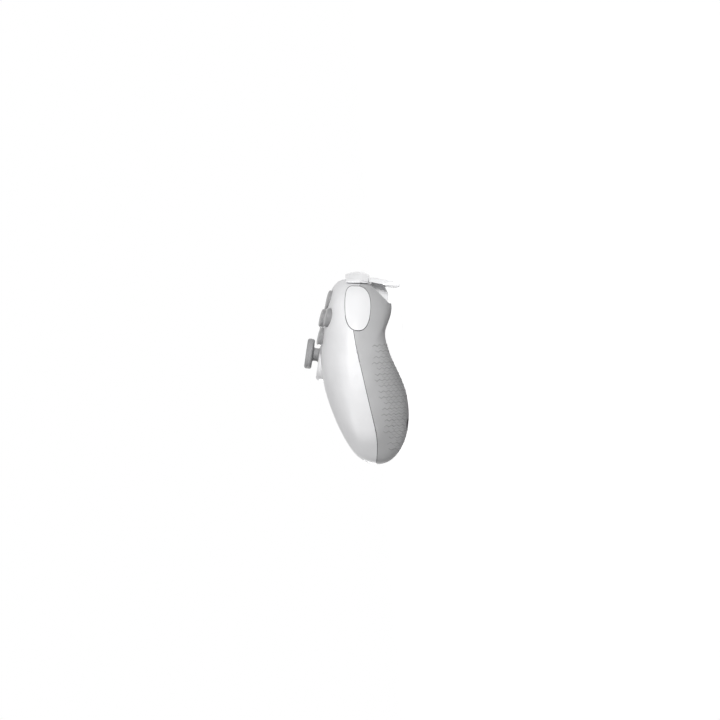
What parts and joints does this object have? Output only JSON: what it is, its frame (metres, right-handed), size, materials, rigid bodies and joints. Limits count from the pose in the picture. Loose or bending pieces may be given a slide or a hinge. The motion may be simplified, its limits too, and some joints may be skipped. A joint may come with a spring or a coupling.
{
  "type": "gamepad",
  "caption": "Two-handed wireless gamepad with twin thumb sticks, cross pad, round face buttons, touchpad, bumpers and sprung triggers.",
  "frame": {"origin": "middle of the object's box, on the plane that it rests on with its face up", "axes": "+X to the player's right, +Y away from the player towards the bumpers, +Z out of the face"},
  "size_m": [0.1608, 0.0993, 0.0522],
  "materials": {
    "white_plastic": "fine satin moulded plastic",
    "grey_plastic": "satin moulded plastic, textured on the grips",
    "gloss_white": "polished plastic",
    "pad_grey": "fine matt plastic",
    "button_grey": "half gloss plastic",
    "cap_rubber": "soft matt rubber",
    "light_diffuser": "milky clear plastic",
    "inner_black": "matt moulded plastic",
    "sensor_green": "moulded plastic",
    "silicone": "silicone rubber",
    "board_green": "lacquered circuit board",
    "chip_black": "moulded chip bodies",
    "bright_steel": "plain steel",
    "spring_steel": "drawn wire",
    "brass_weight": "sintered weight",
    "battery_wrap": "film wrap"
  },
  "bodies": {
    "casing": {"front_cover": "white_plastic", "rear_cover": "grey_plastic", "shell_screws": "bright_steel", "light_bar": "light_diffuser", "side_cap_left": "gloss_white", "side_cap_right": "gloss_white", "mid_frame": "inner_black", "main_board": "board_green", "board_chips": "chip_black", "board_switches": "inner_black", "charge_socket": "bright_steel", "headset_jack": "inner_black", "battery": "battery_wrap", "battery_tray": "inner_black", "face_button_rubber": "silicone", "dpad_rubber": "silicone", "bumper_pins": "bright_steel", "bumper_switches": "inner_black", "trigger_pins": "bright_steel", "trigger_spring_left": "spring_steel", "stick_housing_left": "bright_steel", "stick_sensors_left": "sensor_green", "rumble_motor_left": "bright_steel", "trigger_spring_right": "spring_steel", "stick_housing_right": "bright_steel", "stick_sensors_right": "sensor_green", "rumble_motor_right": "bright_steel"},
    "touchpad": {"touchpad": "pad_grey"},
    "home_button": {"home_button": "button_grey"},
    "menu_button_left": {"menu_button_left": "button_grey"},
    "menu_button_right": {"menu_button_right": "button_grey"},
    "face_button_top": {"face_button_top": "button_grey"},
    "face_button_right": {"face_button_right": "button_grey"},
    "face_button_bottom": {"face_button_bottom": "button_grey"},
    "face_button_left": {"face_button_left": "button_grey"},
    "dpad_rocker": {"dpad_rocker": "inner_black"},
    "dpad": {"dpad": "button_grey"},
    "bumper_left": {"bumper_left": "gloss_white"},
    "trigger_left": {"trigger_left": "gloss_white"},
    "bumper_right": {"bumper_right": "gloss_white"},
    "trigger_right": {"trigger_right": "gloss_white"},
    "stick_seat_left": {"stick_seat_left": "inner_black"},
    "stick_carrier_left": {"stick_carrier_left": "inner_black"},
    "stick_left": {"stick_shaft_left": "inner_black", "thumb_cap_left": "cap_rubber"},
    "stick_yoke_left": {"stick_yoke_left": "inner_black"},
    "stick_seat_right": {"stick_seat_right": "inner_black"},
    "stick_carrier_right": {"stick_carrier_right": "inner_black"},
    "stick_right": {"stick_shaft_right": "inner_black", "thumb_cap_right": "cap_rubber"},
    "stick_yoke_right": {"stick_yoke_right": "inner_black"},
    "rumble_weight_left": {"rumble_weight_left": "brass_weight"},
    "rumble_weight_right": {"rumble_weight_right": "brass_weight"}
  },
  "joints": [
    {"name": "touchpad_click", "type": "hinge", "parent": "casing", "child": "touchpad", "pos_m": [0, 0.0416, 0.0325], "axis": [1, 0, 0], "range_deg": [0, 1], "stiffness_Nm_per_rad": 2, "springref_deg": -0.57},
    {"name": "home_button_press", "type": "slide", "parent": "casing", "child": "home_button", "axis": [0, 0, 1], "range_m": [-0.0006, 0], "stiffness_N_per_m": 900, "springref_m": 0.0003},
    {"name": "menu_button_left_press", "type": "slide", "parent": "casing", "child": "menu_button_left", "axis": [0, 0.2874, 0.9578], "range_m": [-0.0006, 0], "stiffness_N_per_m": 900, "springref_m": 0.0003},
    {"name": "menu_button_right_press", "type": "slide", "parent": "casing", "child": "menu_button_right", "axis": [0, 0.2874, 0.9578], "range_m": [-0.0006, 0], "stiffness_N_per_m": 900, "springref_m": 0.0003},
    {"name": "face_button_top_press", "type": "slide", "parent": "casing", "child": "face_button_top", "axis": [0.1265, 0.2924, 0.9479], "range_m": [-0.0011, 0], "stiffness_N_per_m": 600, "springref_m": 0.0005, "deforming": ["face_button_rubber"]},
    {"name": "face_button_right_press", "type": "slide", "parent": "casing", "child": "face_button_right", "axis": [0.1265, 0.2924, 0.9479], "range_m": [-0.0011, 0], "stiffness_N_per_m": 600, "springref_m": 0.0005, "deforming": ["face_button_rubber"]},
    {"name": "face_button_bottom_press", "type": "slide", "parent": "casing", "child": "face_button_bottom", "axis": [0.1265, 0.2924, 0.9479], "range_m": [-0.0011, 0], "stiffness_N_per_m": 600, "springref_m": 0.0005, "deforming": ["face_button_rubber"]},
    {"name": "face_button_left_press", "type": "slide", "parent": "casing", "child": "face_button_left", "axis": [0.1265, 0.2924, 0.9479], "range_m": [-0.0011, 0], "stiffness_N_per_m": 600, "springref_m": 0.0005, "deforming": ["face_button_rubber"]},
    {"name": "dpad_tilt_up_down", "type": "hinge", "parent": "casing", "child": "dpad_rocker", "pos_m": [-0.04943, 0.02568, 0.03538], "axis": [0.9912, 0, 0.1323], "range_deg": [-4, 4], "stiffness_Nm_per_rad": 0.11, "deforming": ["dpad_rubber"]},
    {"name": "dpad_tilt_left_right", "type": "hinge", "parent": "dpad_rocker", "child": "dpad", "pos_m": [-0.04943, 0.02568, 0.03538], "axis": [0.0387, 0.9563, -0.2898], "range_deg": [-4, 4], "stiffness_Nm_per_rad": 0.11, "deforming": ["dpad_rubber"]},
    {"name": "bumper_left_press", "type": "hinge", "parent": "casing", "child": "bumper_left", "pos_m": [-0.0358, 0.039, 0.0235], "axis": [0, 0, 1], "range_deg": [0, 1], "stiffness_Nm_per_rad": 0.6, "springref_deg": -0.57},
    {"name": "trigger_left_pull", "type": "hinge", "parent": "casing", "child": "trigger_left", "pos_m": [-0.042, 0.0365, 0.0175], "axis": [-1, 0, 0], "range_deg": [0, 16], "stiffness_Nm_per_rad": 0.06, "springref_deg": -8.59, "deforming": ["trigger_spring_left"]},
    {"name": "bumper_right_press", "type": "hinge", "parent": "casing", "child": "bumper_right", "pos_m": [0.0358, 0.039, 0.0235], "axis": [0, 0, -1], "range_deg": [0, 1], "stiffness_Nm_per_rad": 0.6, "springref_deg": -0.57},
    {"name": "trigger_right_pull", "type": "hinge", "parent": "casing", "child": "trigger_right", "pos_m": [0.042, 0.0365, 0.0175], "axis": [-1, 0, 0], "range_deg": [0, 16], "stiffness_Nm_per_rad": 0.06, "springref_deg": -8.59, "deforming": ["trigger_spring_right"]},
    {"name": "stick_left_click", "type": "slide", "parent": "casing", "child": "stick_seat_left", "axis": [0, 0.2079, 0.9781], "range_m": [-0.0005, 0], "stiffness_N_per_m": 3000, "springref_m": 0.0005},
    {"name": "stick_left_side_tilt", "type": "hinge", "parent": "stick_seat_left", "child": "stick_carrier_left", "pos_m": [-0.028, 0.00633, 0.0353], "axis": [0, 0.9781, -0.2079], "range_deg": [-13, 13], "stiffness_Nm_per_rad": 0.04},
    {"name": "stick_left_forward_tilt", "type": "hinge", "parent": "stick_carrier_left", "child": "stick_left", "pos_m": [-0.028, 0.00633, 0.0353], "axis": [1, 0, 0], "range_deg": [-13, 13], "stiffness_Nm_per_rad": 0.04},
    {"name": "stick_left_yoke_turn", "type": "hinge", "parent": "casing", "child": "stick_yoke_left", "pos_m": [-0.028, 0.00633, 0.0353], "axis": [1, 0, 0], "range_deg": [-13, 13]},
    {"name": "stick_right_click", "type": "slide", "parent": "casing", "child": "stick_seat_right", "axis": [0, 0.2079, 0.9781], "range_m": [-0.0005, 0], "stiffness_N_per_m": 3000, "springref_m": 0.0005},
    {"name": "stick_right_side_tilt", "type": "hinge", "parent": "stick_seat_right", "child": "stick_carrier_right", "pos_m": [0.028, 0.00633, 0.0353], "axis": [0, 0.9781, -0.2079], "range_deg": [-13, 13], "stiffness_Nm_per_rad": 0.04},
    {"name": "stick_right_forward_tilt", "type": "hinge", "parent": "stick_carrier_right", "child": "stick_right", "pos_m": [0.028, 0.00633, 0.0353], "axis": [1, 0, 0], "range_deg": [-13, 13], "stiffness_Nm_per_rad": 0.04},
    {"name": "stick_right_yoke_turn", "type": "hinge", "parent": "casing", "child": "stick_yoke_right", "pos_m": [0.028, 0.00633, 0.0353], "axis": [1, 0, 0], "range_deg": [-13, 13]},
    {"name": "rumble_weight_left_spin", "type": "hinge", "parent": "casing", "child": "rumble_weight_left", "pos_m": [-0.0594, -0.015, 0.0205], "axis": [1, 0, 0], "continuous": true},
    {"name": "rumble_weight_right_spin", "type": "hinge", "parent": "casing", "child": "rumble_weight_right", "pos_m": [0.0594, -0.015, 0.0205], "axis": [1, 0, 0], "continuous": true}
  ],
  "couplings": [
    {"joint": "stick_left_yoke_turn", "follows": "stick_left_forward_tilt", "ratio": 1},
    {"joint": "stick_right_yoke_turn", "follows": "stick_right_forward_tilt", "ratio": 1}
  ]
}
